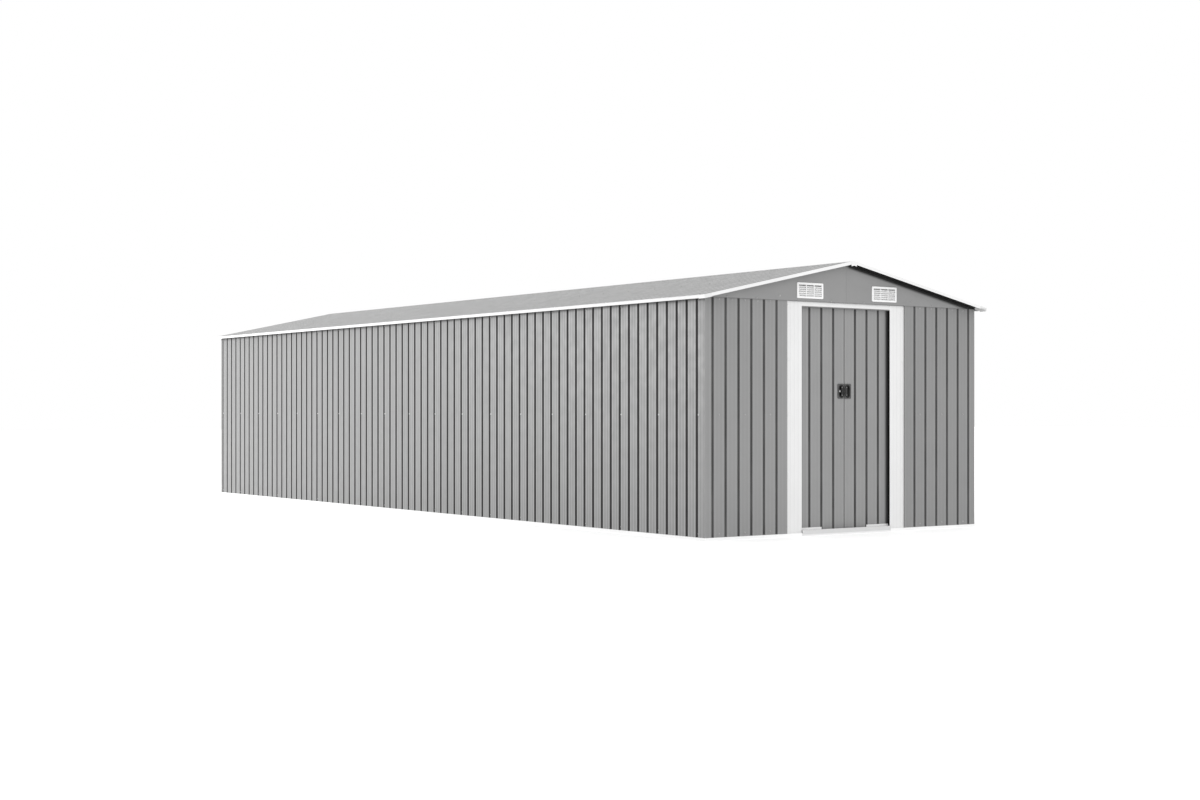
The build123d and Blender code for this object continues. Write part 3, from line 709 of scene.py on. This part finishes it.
def pull_details(label, side, body, rivet_finish, rim_finish, bezel_finish):
    """Rivets on the pull's plate, a raised black rim round its finger cup and a bezel round the rim.

    Loops are (centre x, half width, half height, corner radius).
    """
    rivets = bmesh.new()
    for z in (-RIVET_Z, RIVET_Z):
        lathe(rivets, RIVET_DOME, 16, facing((side * RIVET_X, PULL_FRONT, PULL_HEIGHT + z), (0, -1, 0)))
    new_piece(f"pull_rivets_{label}", rivets, rivet_finish, body)
    inner = (side * RIM_CENTRE, RIM_HALF_X, RIM_HALF_Z, RIM_HALF_X)
    outer = (side * RIM_CENTRE, *(half + RIM_WIDTH for half in inner[1:]))
    rim = ((inner, RIM_SUNK), (inner, RIM_LIFT), (outer, RIM_LIFT), (outer, RIM_SUNK))
    moulding(f"pull_rim_{label}", rim, True, rim_finish, body)
    plate = (side * BEZEL_X, BEZEL_HALF_X, BEZEL_HALF_Z, BEZEL_BEND)
    bezel = ((plate, 0.0), (plate, BEZEL_LIFT), (outer, BEZEL_LIFT), (outer, 0.0))
    moulding(f"pull_bezel_{label}", bezel, False, bezel_finish, body)


def lock_barrel(material):
    """The lock's barrel, standing on the floor of the left pull's cup."""
    mesh = bmesh.new()
    lathe(mesh, BARREL, 24, facing((BARREL_X, PULL_FRONT + CUP_DEPTH, PULL_HEIGHT), (0, -1, 0)))
    new_piece("pull_lock_barrel", mesh, material, "left_leaf")


def build_small_parts():
    """Everything that the solid model leaves out: screws, gable seams, vent screens and pull fittings."""
    grey_cap = plain_coat("screw_grey", SHEET_TONE * 1.15)
    white_cap = plain_coat("screw_white", WHITE_TONE)
    side_screws(grey_cap, plain_coat("screw_pale", 0.55))
    front_screws(grey_cap)
    back_screws(grey_cap)
    roof_screws(grey_cap, white_cap)
    gable_screws(grey_cap)
    post_screws(white_cap)
    for end, place in ENDS:
        gable_seam(place, end)
    screen_white = screen_coat()
    for end, place in ENDS:
        for side, label in SIDES:
            vent_screen(f"vent_screen_{place}_{label}", side * VENT_OFFSET, end, screen_white)
    rim = moulded("black_rim", 0.004, roughness=(0.6, 0.8))
    bezel = moulded("bezel_grey", PULL_TONE)
    # The left rivets are a paler zinc than the right ones: a lit and a shaded copy of one zinc, as painted
    # light and shade.
    pull_details("left", -1, "left_leaf", galvanised("lit_rivet", 0.42), rim, bezel)
    pull_details("right", 1, "right_leaf", galvanised("shaded_rivet", 0.25), rim, bezel)
    lock_barrel(galvanised("bright_rivet", 0.8))


# Stage, light and camera
def build_floor():
    """A wide white ground, which is no part of the shed."""
    mesh = bmesh.new()
    bmesh.ops.create_grid(mesh, x_segments=1, y_segments=1, size=60.0)
    graph = Graph("floor_white")
    colour = graph.mix(graph.noise(0.8, 3.0), grey(0.95), grey(0.97))
    graph.put(graph.shader.inputs["Emission Color"], grey(1.0))
    graph.put(graph.shader.inputs["Emission Strength"], 0.2)
    paint = graph.finish(colour, 0.9, graph.bump(graph.noise(40.0, 2.0), 0.0005, 0.2))
    add_mesh("floor", mesh, paint)


def build_world():
    world = bpy.data.worlds.new("studio")
    world.use_nodes = True
    background = world.node_tree.nodes["Background"]
    background.inputs["Color"].default_value = grey(1.0)
    background.inputs["Strength"].default_value = 1.0
    bpy.context.scene.world = world


def light_from(direction):
    """Rotation of a lamp that shines from a direction."""
    return Vector(direction).to_track_quat("Z", "Y").to_euler()


def build_lamps():
    """A wide soft sun from the front left, and a panel that fills the far end of the long wall."""
    sun = bpy.data.lights.new("key", "SUN")
    sun.energy = 0.42
    sun.angle = math.radians(50)
    add_object("key", sun).rotation_euler = light_from((-0.3, -0.6, 1.3))
    panel = bpy.data.lights.new("side_fill", "AREA")
    panel.shape = "RECTANGLE"
    panel.size = 6.0
    panel.size_y = 4.0
    panel.energy = 430.0
    fill = add_object("side_fill", panel)
    fill.location = (-7.5, 5.6, 2.8)
    fill.rotation_euler = light_from((-1.0, 0.1, 0.25))


def build_camera():
    """The photo's camera, solved from its rib lines."""
    data = bpy.data.cameras.new("camera")
    data.sensor_fit = "HORIZONTAL"
    data.sensor_width = 36.0
    data.lens = 52.737
    data.shift_x = -0.00042
    data.shift_y = 0.0088
    data.clip_end = 200.0
    camera = add_object("camera", data)
    camera.location = (-8.19977, -12.66761, 0.83568)
    camera.rotation_euler = (math.radians(90), 0, math.radians(-35.0103))
    bpy.context.scene.camera = camera


paint_nodes()
finish_faces()
build_small_parts()
build_floor()
build_world()
build_lamps()
build_camera()
bpy.context.scene.view_settings.view_transform = "Standard"
